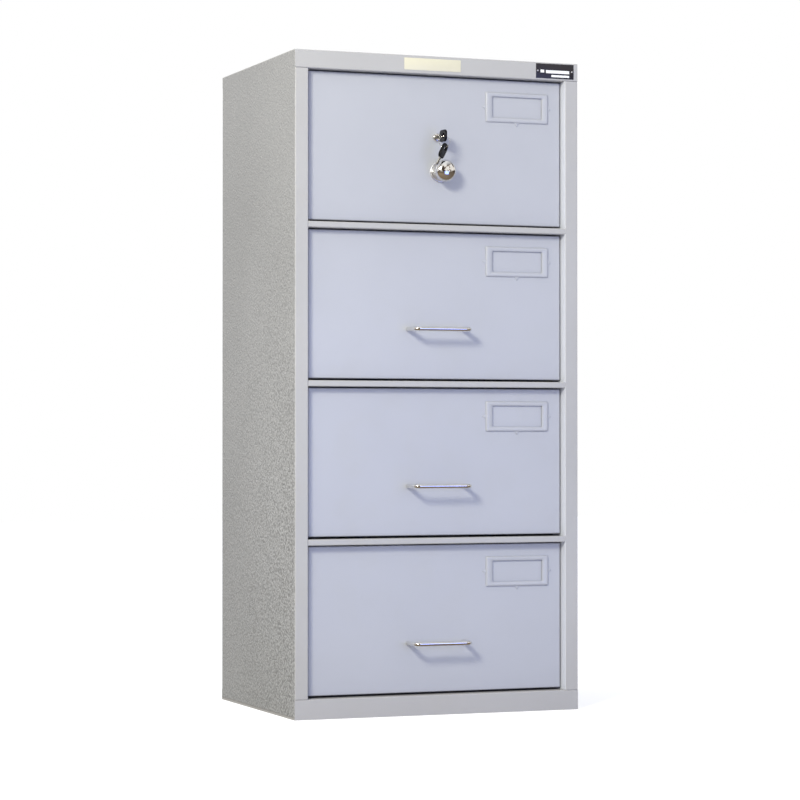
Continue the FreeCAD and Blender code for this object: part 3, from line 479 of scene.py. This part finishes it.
# %% Plastic and plate materials
key_plastic, tree, shader, here = start_material("key_plastic", IOR=1.45, Specular_IOR_Level=0.22)
tone = grouped(tree, uneven, {"Position": here, "Colour": (0.006, 0.006, 0.007, 1),
                              "Soiled": (0.02, 0.019, 0.018, 1), "Drift": 0.2, "Soil": 0.3,
                              "Roughness": 0.26})
tree.links.new(tone.outputs["Colour"], shader.inputs["Base Color"])
tree.links.new(tone.outputs["Roughness"], shader.inputs["Roughness"])
grain = grouped(tree, spray, {"Position": here, "Swells": 1500.0, "Dust": 0.8})
bump(tree, shader, grain.outputs["Height"], 0.15, 0.0003)

cream_plate = enamel("cream_plate", (0.66, 0.62, 0.47), (0.45, 0.40, 0.28), 0.30,
                     drift=0.05, soil=0.35, swells=700.0)
black_plate = enamel("black_plate", (0.018, 0.016, 0.02), (0.06, 0.05, 0.05), 0.28,
                     drift=0.15, soil=0.2, swells=700.0)
white_field = enamel("white_field", (0.88, 0.87, 0.84), (0.62, 0.58, 0.50), 0.38,
                     drift=0.03, soil=0.15, swells=900.0)
print("plates:", cream_plate.name, black_plate.name, white_field.name)

# %% [markdown]
# ## Which finish goes on which sheet
#
# Most of the model's own pieces already have the right shape, with their bends and flanges, so
# they stay as they are and only get a finish. A short table by the start of the name is enough.

# %% Dress the model's own pieces
FINISHES = {
    "side_panel": side_paint, "top_panel": frame_paint, "base_pan": frame_paint,
    "divider_rail": frame_paint, "back_panel": frame_paint, "rear_post": zinc,
    "face": face_paint, "tray": inner_paint, "file_rails": zinc, "fixed_slides": zinc,
    "middle_slides": zinc, "drawer_slides": zinc, "handle_screws": zinc, "lock_plug": chrome,
    "lock_bolt": zinc, "bolt_guides": zinc, "lock_bar": zinc, "bar_guides": zinc,
}


def finish_of(name):
    """The finish whose key is the longest start of a piece's name."""
    starts = [start for start in FINISHES if name.startswith(start)]
    return FINISHES[max(starts, key=len)] if starts else aluminium


for name, thing in nodes.items():
    thing.data.materials.clear()
    thing.data.materials.append(finish_of(name))
print("dressed", len(nodes), "pieces")

# %% [markdown]
# ## Tools for new pieces
#
# Small fittings are modelled again, because here a rounded lip or a bent rod decides how real they
# look. Every new piece ends the same way: doubles are merged, faces are turned outwards, the piece
# is tied to the body that it moves with, and the model piece that it stands for is hidden.

# %% Finish a new piece
def make_piece(shape, name, body, slot, material, *stands_for, crease=35):
    """Turn a bmesh into a piece of the cabinet that rides on a body."""
    bmesh.ops.remove_doubles(shape, verts=shape.verts, dist=2e-6)
    bmesh.ops.recalc_face_normals(shape, faces=shape.faces)
    loose = sum(1 for edge in shape.edges if not edge.is_manifold)
    mesh = bpy.data.meshes.new(name)
    shape.to_mesh(mesh)
    shape.free()
    mesh.shade_smooth()
    mesh.set_sharp_from_angle(angle=math.radians(crease))
    mesh.materials.append(material)
    piece = bpy.data.objects.new(name, mesh)
    bpy.context.scene.collection.objects.link(piece)
    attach(piece, body)
    if stands_for:
        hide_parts(*stands_for)
    print(f"{name}: {len(mesh.polygons)} faces, {loose} open edges")
    return piece


def middle_of(node):
    """The middle of a model piece's box."""
    low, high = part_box(node)
    return (low + high) / 2


FRONTWARD = Matrix.Rotation(math.radians(90), 4, "X")    # turns a shape's +Z to -Y, out of the drawer

# %% [markdown]
# ### Turned pieces
#
# A lathe makes the knob, the rose, the lock's bezel and the rivets. In bmesh the same thing is a
# profile of a few points spun through a full turn. The profile is given as (radius, forward)
# pairs, where forward is how far a point stands out of the drawer front.

# %% A lathe
def arc(middle, radius, start, end, steps, depth=None):
    """Points on an arc in (radius, forward), angles in degrees. A depth makes it part of an ellipse."""
    turns = [math.radians(start + (end - start) * step / steps) for step in range(steps + 1)]
    return [(middle[0] + radius * math.cos(t), middle[1] + (depth or radius) * math.sin(t)) for t in turns]


def lathe(shape, profile, place, steps=64):
    """Spin a profile about the axis that runs forward through a place. Ends on the axis close it."""
    spots = [shape.verts.new(Vector(place) + Vector((radius, -forward, 0))) for radius, forward in profile]
    line = [shape.edges.new(pair) for pair in zip(spots, spots[1:])]
    bmesh.ops.spin(shape, geom=spots + line, cent=place, axis=(0, 1, 0), angle=math.tau, steps=steps,
                   use_merge=True, use_duplicate=False)


print("a quarter arc:", [tuple(round(v, 3) for v in spot) for spot in arc((0, 0), 1, 0, 90, 2)])

# %% [markdown]
# ### The knob and its rose
#
# The knob is a polished flattened dome on a short neck, and the rose behind it is a shallow dish
# with a rolled rim. The knob keeps its spindle and the crank inside the drawer front, since both move with
# it. The crank is a flat plate with a pin that lifts the bolt.

# %% Domed knob
face_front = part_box("face_1")[0].y
knob_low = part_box("knob")[0]
rose_middle = middle_of("knob_rose")
knob_axis = Vector((rose_middle.x, face_front, rose_middle.z))
ball = rose_middle.x - knob_low.x
dome = 0.014
ball_middle = face_front - knob_low.y - dome
neck = 0.008
neck_meets = math.degrees(math.asin(neck / ball)) - 90
spindle = 0.004
collar = 0.0012
rose_front = face_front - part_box("knob_rose")[0].y
crank_front = knob_axis.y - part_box("lock_bolt")[0].y + 0.0005
shape = bmesh.new()
lathe(shape, arc((0, ball_middle), ball, 90, neck_meets, 32, dome)
      + [(neck, rose_front + 0.0035), (neck + collar, rose_front + 0.0018),
         (neck + collar, rose_front + 0.0004),
         (spindle, rose_front + 0.0003), (spindle, crank_front), (0, crank_front)], knob_axis)
make_piece(shape, "domed_knob", "knob", "chrome", chrome, "knob")

# %% Rose with a rolled rim
rose_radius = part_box("knob_rose")[1].x - rose_middle.x
rose_rear = face_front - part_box("knob_rose")[1].y
bore = spindle + 0.0001
shape = bmesh.new()
lathe(shape, [(bore, rose_rear), (bore, rose_front - 0.0004), (neck + 0.003, rose_front - 0.0004),
              (neck + 0.005, rose_front - 0.0014), (rose_radius - 0.006, rose_front - 0.0016)]
      + arc((rose_radius - 0.002, rose_front - 0.002), 0.002, 120, 0, 8)
      + [(rose_radius, 0), (0.009, 0), (0.009, rose_rear), (bore, rose_rear)], knob_axis)
make_piece(shape, "knob_rose_dish", "drawer_1", "chrome", satin, "knob_rose")

# %% [markdown]
# ### The lock
#
# The lock's housing shows as a small polished bezel with a domed lip around the plug that turns.

# %% Lock bezel
lock_low, lock_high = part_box("lock_cylinder")
lock_middle = middle_of("lock_plug")
lock_axis = Vector((lock_middle.x, face_front, lock_middle.z))
bezel = lock_high.x - lock_middle.x
lock_proud = face_front - lock_low.y
plug_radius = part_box("lock_plug")[1].x - lock_middle.x
barrel = 0.007
lock_bore = plug_radius + 0.00005
lock_rear = face_front - lock_high.y
shape = bmesh.new()
lathe(shape, [(lock_bore, lock_rear), (lock_bore, lock_proud - 0.0003), (lock_bore + 0.0004, lock_proud)]
      + arc((bezel - 0.0026, lock_proud - 0.0026), 0.0026, 90, 0, 10)
      + [(bezel, 0), (barrel, 0), (barrel, lock_rear), (lock_bore, lock_rear)], lock_axis)
make_piece(shape, "lock_bezel", "drawer_1", "chrome", chrome, "lock_cylinder")

# %% [markdown]
# ### Rod handles
#
# Each of the three lower drawers has a pull bent from one rod. Half of it is made: a circle at the
# foot is drawn out of the drawer front, spun a quarter turn and drawn along to the middle. A
# mirror gives the other half, so both corners are sure to match.

# %% Bend three handles
def end_ring(shape, axis, place):
    """The edges that lie in the plane square to an axis at a place."""
    return [edge for edge in shape.edges if all(abs(v.co[axis] - place) < 1e-6 for v in edge.verts)]


def rod_handle(number):
    """A round rod from foot to foot, standing on the drawer front."""
    node = f"handle_{number}"
    low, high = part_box(node)
    rod = (high.z - low.z) / 2
    bend = 0.011
    foot = Vector((low.x + rod, high.y, (low.z + high.z) / 2))
    bar = low.y + rod
    shape = bmesh.new()
    bmesh.ops.create_circle(shape, cap_ends=True, segments=28, radius=rod,
                            matrix=Matrix.Translation(foot) @ FRONTWARD)
    made = bmesh.ops.extrude_edge_only(shape, edges=shape.edges[:])["geom"]
    corner_start = bar + bend
    bmesh.ops.translate(shape, verts=[g for g in made if isinstance(g, bmesh.types.BMVert)],
                        vec=(0, corner_start - foot.y, 0))
    bmesh.ops.spin(shape, geom=end_ring(shape, 1, corner_start), cent=(foot.x + bend, corner_start, foot.z),
                   axis=(0, 0, 1), angle=math.radians(90), steps=10)
    made = bmesh.ops.extrude_edge_only(shape, edges=end_ring(shape, 0, foot.x + bend))["geom"]
    bmesh.ops.translate(shape, verts=[g for g in made if isinstance(g, bmesh.types.BMVert)],
                        vec=(-foot.x - bend, 0, 0))
    bmesh.ops.mirror(shape, geom=shape.verts[:] + shape.edges[:] + shape.faces[:], axis="X", merge_dist=1e-5)
    return make_piece(shape, f"rod_handle_{number}", f"drawer_{number}", "chrome", chrome, node)


for number in (2, 3, 4):
    rod_handle(number)

# %% [markdown]
# ## Rounded plates
#
# Card holders, name plates, key bows and the crank all start from a rounded rectangle. A grid of one
# face with its four corners bevelled is one, and a matrix puts it in its plane. From there it is
# either extruded into a plate or joined to the next outline, as a loft.

# %% Rounded rectangles, plates and lofts
def facing(place, spin=0.0):
    """A plane that looks out of the drawer front at a place, turned in itself by some degrees."""
    return Matrix.Translation(place) @ FRONTWARD @ Matrix.Rotation(math.radians(spin), 4, "Z")


def rounded_face(shape, plane, wide, tall, corner, segments=5):
    """A rounded rectangle as one face, in the XY plane of a matrix."""
    before = set(shape.faces)
    spots = bmesh.ops.create_grid(shape, x_segments=1, y_segments=1, size=0.5,
                                  matrix=plane @ Matrix.Diagonal((wide, tall, 1, 1)))["verts"]
    bmesh.ops.bevel(shape, geom=spots, offset=corner, offset_type="OFFSET", affect="VERTICES",
                    segments=segments, profile=0.5, material=-1)
    return (set(shape.faces) - before).pop()


def rounded_ring(shape, plane, wide, tall, corner, segments=5):
    """The points of a rounded rectangle in their order round it, with no face."""
    face = rounded_face(shape, plane, wide, tall, corner, segments)
    ring = face.verts[:]
    bmesh.ops.delete(shape, geom=[face], context="FACES_ONLY")
    return ring


def edges_of(ring):
    """The edges that meet a ring's points, each once and always in the same order."""
    return list(dict.fromkeys(edge for spot in ring for edge in spot.link_edges))


def loft(shape, rings):
    """Join each ring to the next, and the last to the first, point by point so that nothing twists."""
    for one, two in zip(rings, rings[1:] + rings[:1]):
        for here in range(len(one)):
            shape.faces.new((one[here - 1], one[here], two[here], two[here - 1]))


def thicken(shape, faces, step, lip, segments=2):
    """Extrude faces by a step and round the rim that ends up in front."""
    made = bmesh.ops.extrude_face_region(shape, geom=faces, use_keep_orig=True)["geom"]
    front = [g for g in made if isinstance(g, bmesh.types.BMVert)]
    bmesh.ops.translate(shape, verts=front, vec=step)
    fresh = [g for g in made if isinstance(g, bmesh.types.BMFace)]
    rim = dict.fromkeys(edge for face in fresh for edge in face.edges
                        if sum(1 for side in edge.link_faces if side in fresh) == 1)
    if lip:
        bmesh.ops.bevel(shape, geom=list(rim), offset=lip, offset_type="OFFSET", affect="EDGES",
                        segments=segments, profile=0.5, material=-1)


print("plate tools ready")

# %% [markdown]
# ### The knob's crank
#
# Inside the drawer front the spindle carries a flat crank with a pin. It is out of sight until the
# drawer is open, but it moves, so it belongs to the knob.

# %% Crank and pin
crank_reach = 0.012
crank_thick = 0.003
crank_drop = -30
crank_rear = face_front - crank_front
crank_end = Vector((math.cos(math.radians(crank_drop)), 0, math.sin(math.radians(crank_drop)))) * crank_reach
crank_middle = Vector((knob_axis.x, crank_rear, knob_axis.z)) + crank_end / 2
shape = bmesh.new()
face = rounded_face(shape, facing(crank_middle, crank_drop), crank_reach + 0.010, 0.010, 0.0045)
thicken(shape, [face], (0, -crank_thick, 0), 0.0004)
pin_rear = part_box("lock_bolt")[1].y - face_front + 0.0005
lathe(shape, [(0, 0.001 - pin_rear), (0.0025, 0.001 - pin_rear), (0.0025, crank_front + 0.001),
              (0, crank_front + 0.001)], knob_axis + crank_end, steps=24)
make_piece(shape, "knob_crank", "knob", "zinc_steel", zinc)

# %% [markdown]
# ## Card holders
#
# A card holder is pressed from thin sheet and painted with the drawer: a low frame with a sloping
# rim, a window for a card, and three small pressed points at its sides. The rim is a loft of
# rounded rectangles: out and up along the slope, across the top, down into the window, and back
# under the rim, where the slot for the card leaves a dark line. Each one is made at the origin and
# then moved, so all four are alike.

# %% Four card holders
def pressed_point(shape, tip, base, half, thick):
    """A small three-cornered tab on the drawer front that runs under the rim."""
    along = (base - tip).normalized()
    across = Vector((-along.z, 0, along.x)) * half
    root = base + along * 0.003
    face = shape.faces.new([shape.verts.new(spot) for spot in (tip, root + across, root - across)])
    thicken(shape, [face], (0, -thick, 0), thick * 0.45)


def card_holder(number):
    """A painted frame with a window, raised from the drawer front."""
    node = f"label_holder_{number}"
    low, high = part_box(node)
    tab = 0.007
    middle = Vector(((low.x + high.x) / 2, high.y, (low.z + tab + high.z) / 2))
    wide = round(high.x - low.x - 2 * tab, 5)
    tall = round(high.z - low.z - tab, 5)
    thick = round(high.y - low.y, 5)
    shape = bmesh.new()
    side_borders, end_borders = 0.028, 0.018
    rim = [(0, 0.0025, 0), (0, 0.0026, 0.35), (0.0016, 0.0028, 0.72), (0.0050, 0.0030, 0.97),
           (0.0066, 0.0032, 1)]
    rings = [rounded_ring(shape, facing(Vector((0, -rise * thick, 0))), wide - less, tall - less, corner)
             for less, corner, rise in rim]
    window = [(0.0012, 0.0028, 1), (0, 0.0022, 0.85), (0, 0.0022, 0.5), (0.0050, 0.0030, 0.45),
              (0.0050, 0.0030, 0)]
    rings += [rounded_ring(shape, facing(Vector((0, -rise * thick, 0))), wide - side_borders + more,
                           tall - end_borders + more, corner) for more, corner, rise in window]
    loft(shape, rings)
    bmesh.ops.translate(shape, verts=shape.verts[:], vec=middle)
    tabs = [((low.x, middle.z), (low.x + tab, middle.z)), ((high.x, middle.z), (high.x - tab, middle.z)),
            ((middle.x, low.z), (middle.x, low.z + tab))]
    for tip, base in tabs:
        pressed_point(shape, Vector((tip[0], high.y, tip[1])), Vector((base[0], high.y, base[1])),
                      tab, 0.0016)
    return make_piece(shape, f"card_holder_{number}", f"drawer_{number}", "front_paint", face_paint, node,
                      crease=50)


for number in (1, 2, 3, 4):
    card_holder(number)

# %% [markdown]
# ## Plates on the top rail
#
# Two thin plates sit on the top rail: a blank cream one near the middle and a black one at the
# right end, held by two rivets, with three blank white fields for hand-written data.

# %% Plates
def thin_plate(name, node, slot, material, corner):
    """A blank plate with a softened edge, in the place of a model plate."""
    low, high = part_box(node)
    shape = bmesh.new()
    middle = Vector(((low.x + high.x) / 2, high.y, (low.z + high.z) / 2))
    face = rounded_face(shape, facing(middle), high.x - low.x, high.z - low.z, corner)
    thicken(shape, [face], (0, low.y - high.y, 0), 0.0003)
    make_piece(shape, name, "cabinet", slot, material, node)
    return low, high


thin_plate("cream_name_plate", "maker_plate", "cream_label", cream_plate, 0.0012)
black_low, black_high = thin_plate("black_data_plate", "rating_plate", "black_plate", black_plate, 0.0008)

# %% Blank fields on the black plate
FIELDS = [(0.0098, 0.0126, 0.0080, 0.0060), (0.0220, 0.0132, 0.0520, 0.0062),
          (0.0340, 0.0226, 0.0400, 0.0044)]
field_rise = 0.00012
sunk = 0.0001
shape = bmesh.new()
for from_left, from_top, wide, tall in FIELDS:
    spot = Vector((black_low.x + from_left + wide / 2, black_low.y + sunk,
                   black_high.z - from_top - tall / 2))
    face = rounded_face(shape, facing(spot), wide, tall, 0.0004, segments=3)
    thicken(shape, [face], (0, -sunk - field_rise, 0), 0)
make_piece(shape, "blank_fields", "cabinet", "cream_label", white_field)

# %% Domed rivets of the black plate
rivet_low, rivet_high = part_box("rating_plate_rivets")
rivet = (rivet_high.z - rivet_low.z) / 2
shape = bmesh.new()
for x in (rivet_low.x + rivet, rivet_high.x - rivet):
    lathe(shape, [(0, 0.0004 + rivet * 0.45)] + [(rivet * math.sin(t / 6 * math.pi / 2),
          0.0002 + rivet * 0.45 * math.cos(t / 6 * math.pi / 2)) for t in range(1, 7)]
          + [(rivet, -0.0002), (0, -0.0002)], (x, black_low.y, (rivet_low.z + rivet_high.z) / 2), steps=24)
make_piece(shape, "plate_rivets", "cabinet", "rivet_metal", aluminium, "rating_plate_rivets")

# %% [markdown]
# ## Keys
#
# Two flat keys hang on one split ring. Each has a moulded bow with a hole and a cut metal blade.
# A key is built in its own plane, with the hole in the middle, the blade along local X and the
# thickness along local Z, and a matrix then puts it in the lock or lets it hang.

# %% The two keys
key_middle = middle_of("key_ring")
hole_off = 0.0125
hole = 0.005
bow_front = 0.009
bow_rear = 0.022
bow_thick = 0.005
spare_lean = 26.1
spare_twist = 45
CUTS = (0.0010, 0.0020, 0.0007, 0.0016, 0.0012)


def key_bow(name, body, plane, half, node):
    """A moulded bow with rounded edges and a round hole."""
    middle = plane @ Matrix.Translation(((bow_rear - bow_front) / 2, 0, -bow_thick / 2))
    sides = 6
    shape = bmesh.new()
    outer = rounded_ring(shape, middle, bow_front + bow_rear, 2 * half, 0.008, segments=sides)
    ring = bmesh.ops.create_circle(shape, segments=4 * (sides + 1), radius=hole,
                                   matrix=plane @ Matrix.Translation((0, 0, -bow_thick / 2)))["verts"]
    flat = bmesh.ops.bridge_loops(shape, edges=edges_of(outer + ring))["faces"]
    up = plane.to_3x3() @ Vector((0, 0, bow_thick))
    made = bmesh.ops.extrude_face_region(shape, geom=flat, use_keep_orig=True)["geom"]
    bmesh.ops.translate(shape, verts=[g for g in made if isinstance(g, bmesh.types.BMVert)], vec=up)
    bmesh.ops.recalc_face_normals(shape, faces=shape.faces)
    rims = [edge for edge in shape.edges if len(edge.link_faces) == 2 and edge.calc_face_angle() > 1.2]
    bmesh.ops.bevel(shape, geom=rims, offset=0.0011, offset_type="OFFSET", affect="EDGES", segments=4,
                    profile=0.5, material=-1)
    make_piece(shape, name, body, "key_plastic", key_plastic, node, crease=60)


def key_blade(name, body, plane, reach):
    """A flat blade with cuts along one edge and a blunt point."""
    half = 0.0036
    start = bow_rear - 0.003
    end = bow_rear + reach
    pitch = (reach - 0.008) / len(CUTS)
    teeth = []
    for number, deep in enumerate(CUTS):
        middle = bow_rear + 0.005 + pitch * (number + 0.5)
        teeth += [(middle - pitch * 0.42, half), (middle - pitch * 0.12, half - deep),
                  (middle + pitch * 0.12, half - deep), (middle + pitch * 0.42, half)]
    outline = [(start, -half), (end - 0.003, -half), (end, -half * 0.3), (end, half * 0.2),
               (end - 0.0024, half)] + teeth[::-1] + [(start, half)]
    thick = 0.0016
    shape = bmesh.new()
    face = shape.faces.new([shape.verts.new(plane @ Vector((u, v, -thick / 2))) for u, v in outline])
    thicken(shape, [face], plane.to_3x3() @ Vector((0, 0, thick)), 0.0002)
    make_piece(shape, name, body, "ring_steel", shaded_key_steel)


in_lock = Matrix.Translation(key_middle + Vector((0, 0, hole_off))) @ Matrix(
    ((0, 0, 1, 0), (1, 0, 0, 0), (0, 1, 0, 0), (0, 0, 0, 1)))
hanging = (Matrix.Translation(key_middle - Vector((0, 0, hole_off)))
           @ Matrix.Rotation(math.radians(spare_lean), 4, "Y")
           @ Matrix.Rotation(math.radians(spare_twist), 4, "Z")
           @ Matrix(((0, 1, 0, 0), (0, 0, -1, 0), (-1, 0, 0, 0), (0, 0, 0, 1))))
key_bow("key_bow", "key", in_lock, 0.012, "key")
key_blade("key_blade", "key", in_lock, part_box("key")[1].y - key_middle.y - bow_rear)
key_bow("spare_key_bow", "spare_key", hanging, 0.011, "spare_key")
key_blade("spare_key_blade", "spare_key", hanging, 0.016)

# %% [markdown]
# ### The split ring
#
# A split ring is two turns of spring wire lying against each other. Spinning a small circle with a
# sideways step at each move gives that coil directly.

# %% Split ring
ring_turn = math.radians(-33)
ring_axis = Vector((-math.sin(ring_turn), math.cos(ring_turn), 0))
ring_out = Vector((math.cos(ring_turn), math.sin(ring_turn), 0))
ring_radius = (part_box("key_ring")[1].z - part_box("key_ring")[0].z) / 2 - 0.0008
wire = 0.00042
loop_gap = 1.9
per_turn = 48
shape = bmesh.new()
start = key_middle + ring_out * ring_radius - ring_axis * wire * loop_gap
section = Matrix.Translation(start) @ Matrix((ring_out, ring_axis, Vector((0, 0, 1)))).transposed().to_4x4()
bmesh.ops.create_circle(shape, segments=10, radius=wire, matrix=section)
bmesh.ops.spin(shape, geom=shape.verts[:] + shape.edges[:], cent=key_middle, axis=ring_axis,
               dvec=ring_axis * wire * loop_gap / per_turn, angle=2 * math.tau, steps=2 * per_turn)
bmesh.ops.holes_fill(shape, edges=shape.edges[:], sides=0)
make_piece(shape, "split_ring", "key_ring", "ring_steel", nickel, "key_ring", crease=50)

# %% [markdown]
# ## Before the end
#
# The size of the model is printed.

# %% Sizes and the end
print("CAD box", [tuple(round(v, 4) for v in corner) for corner in cad_box])
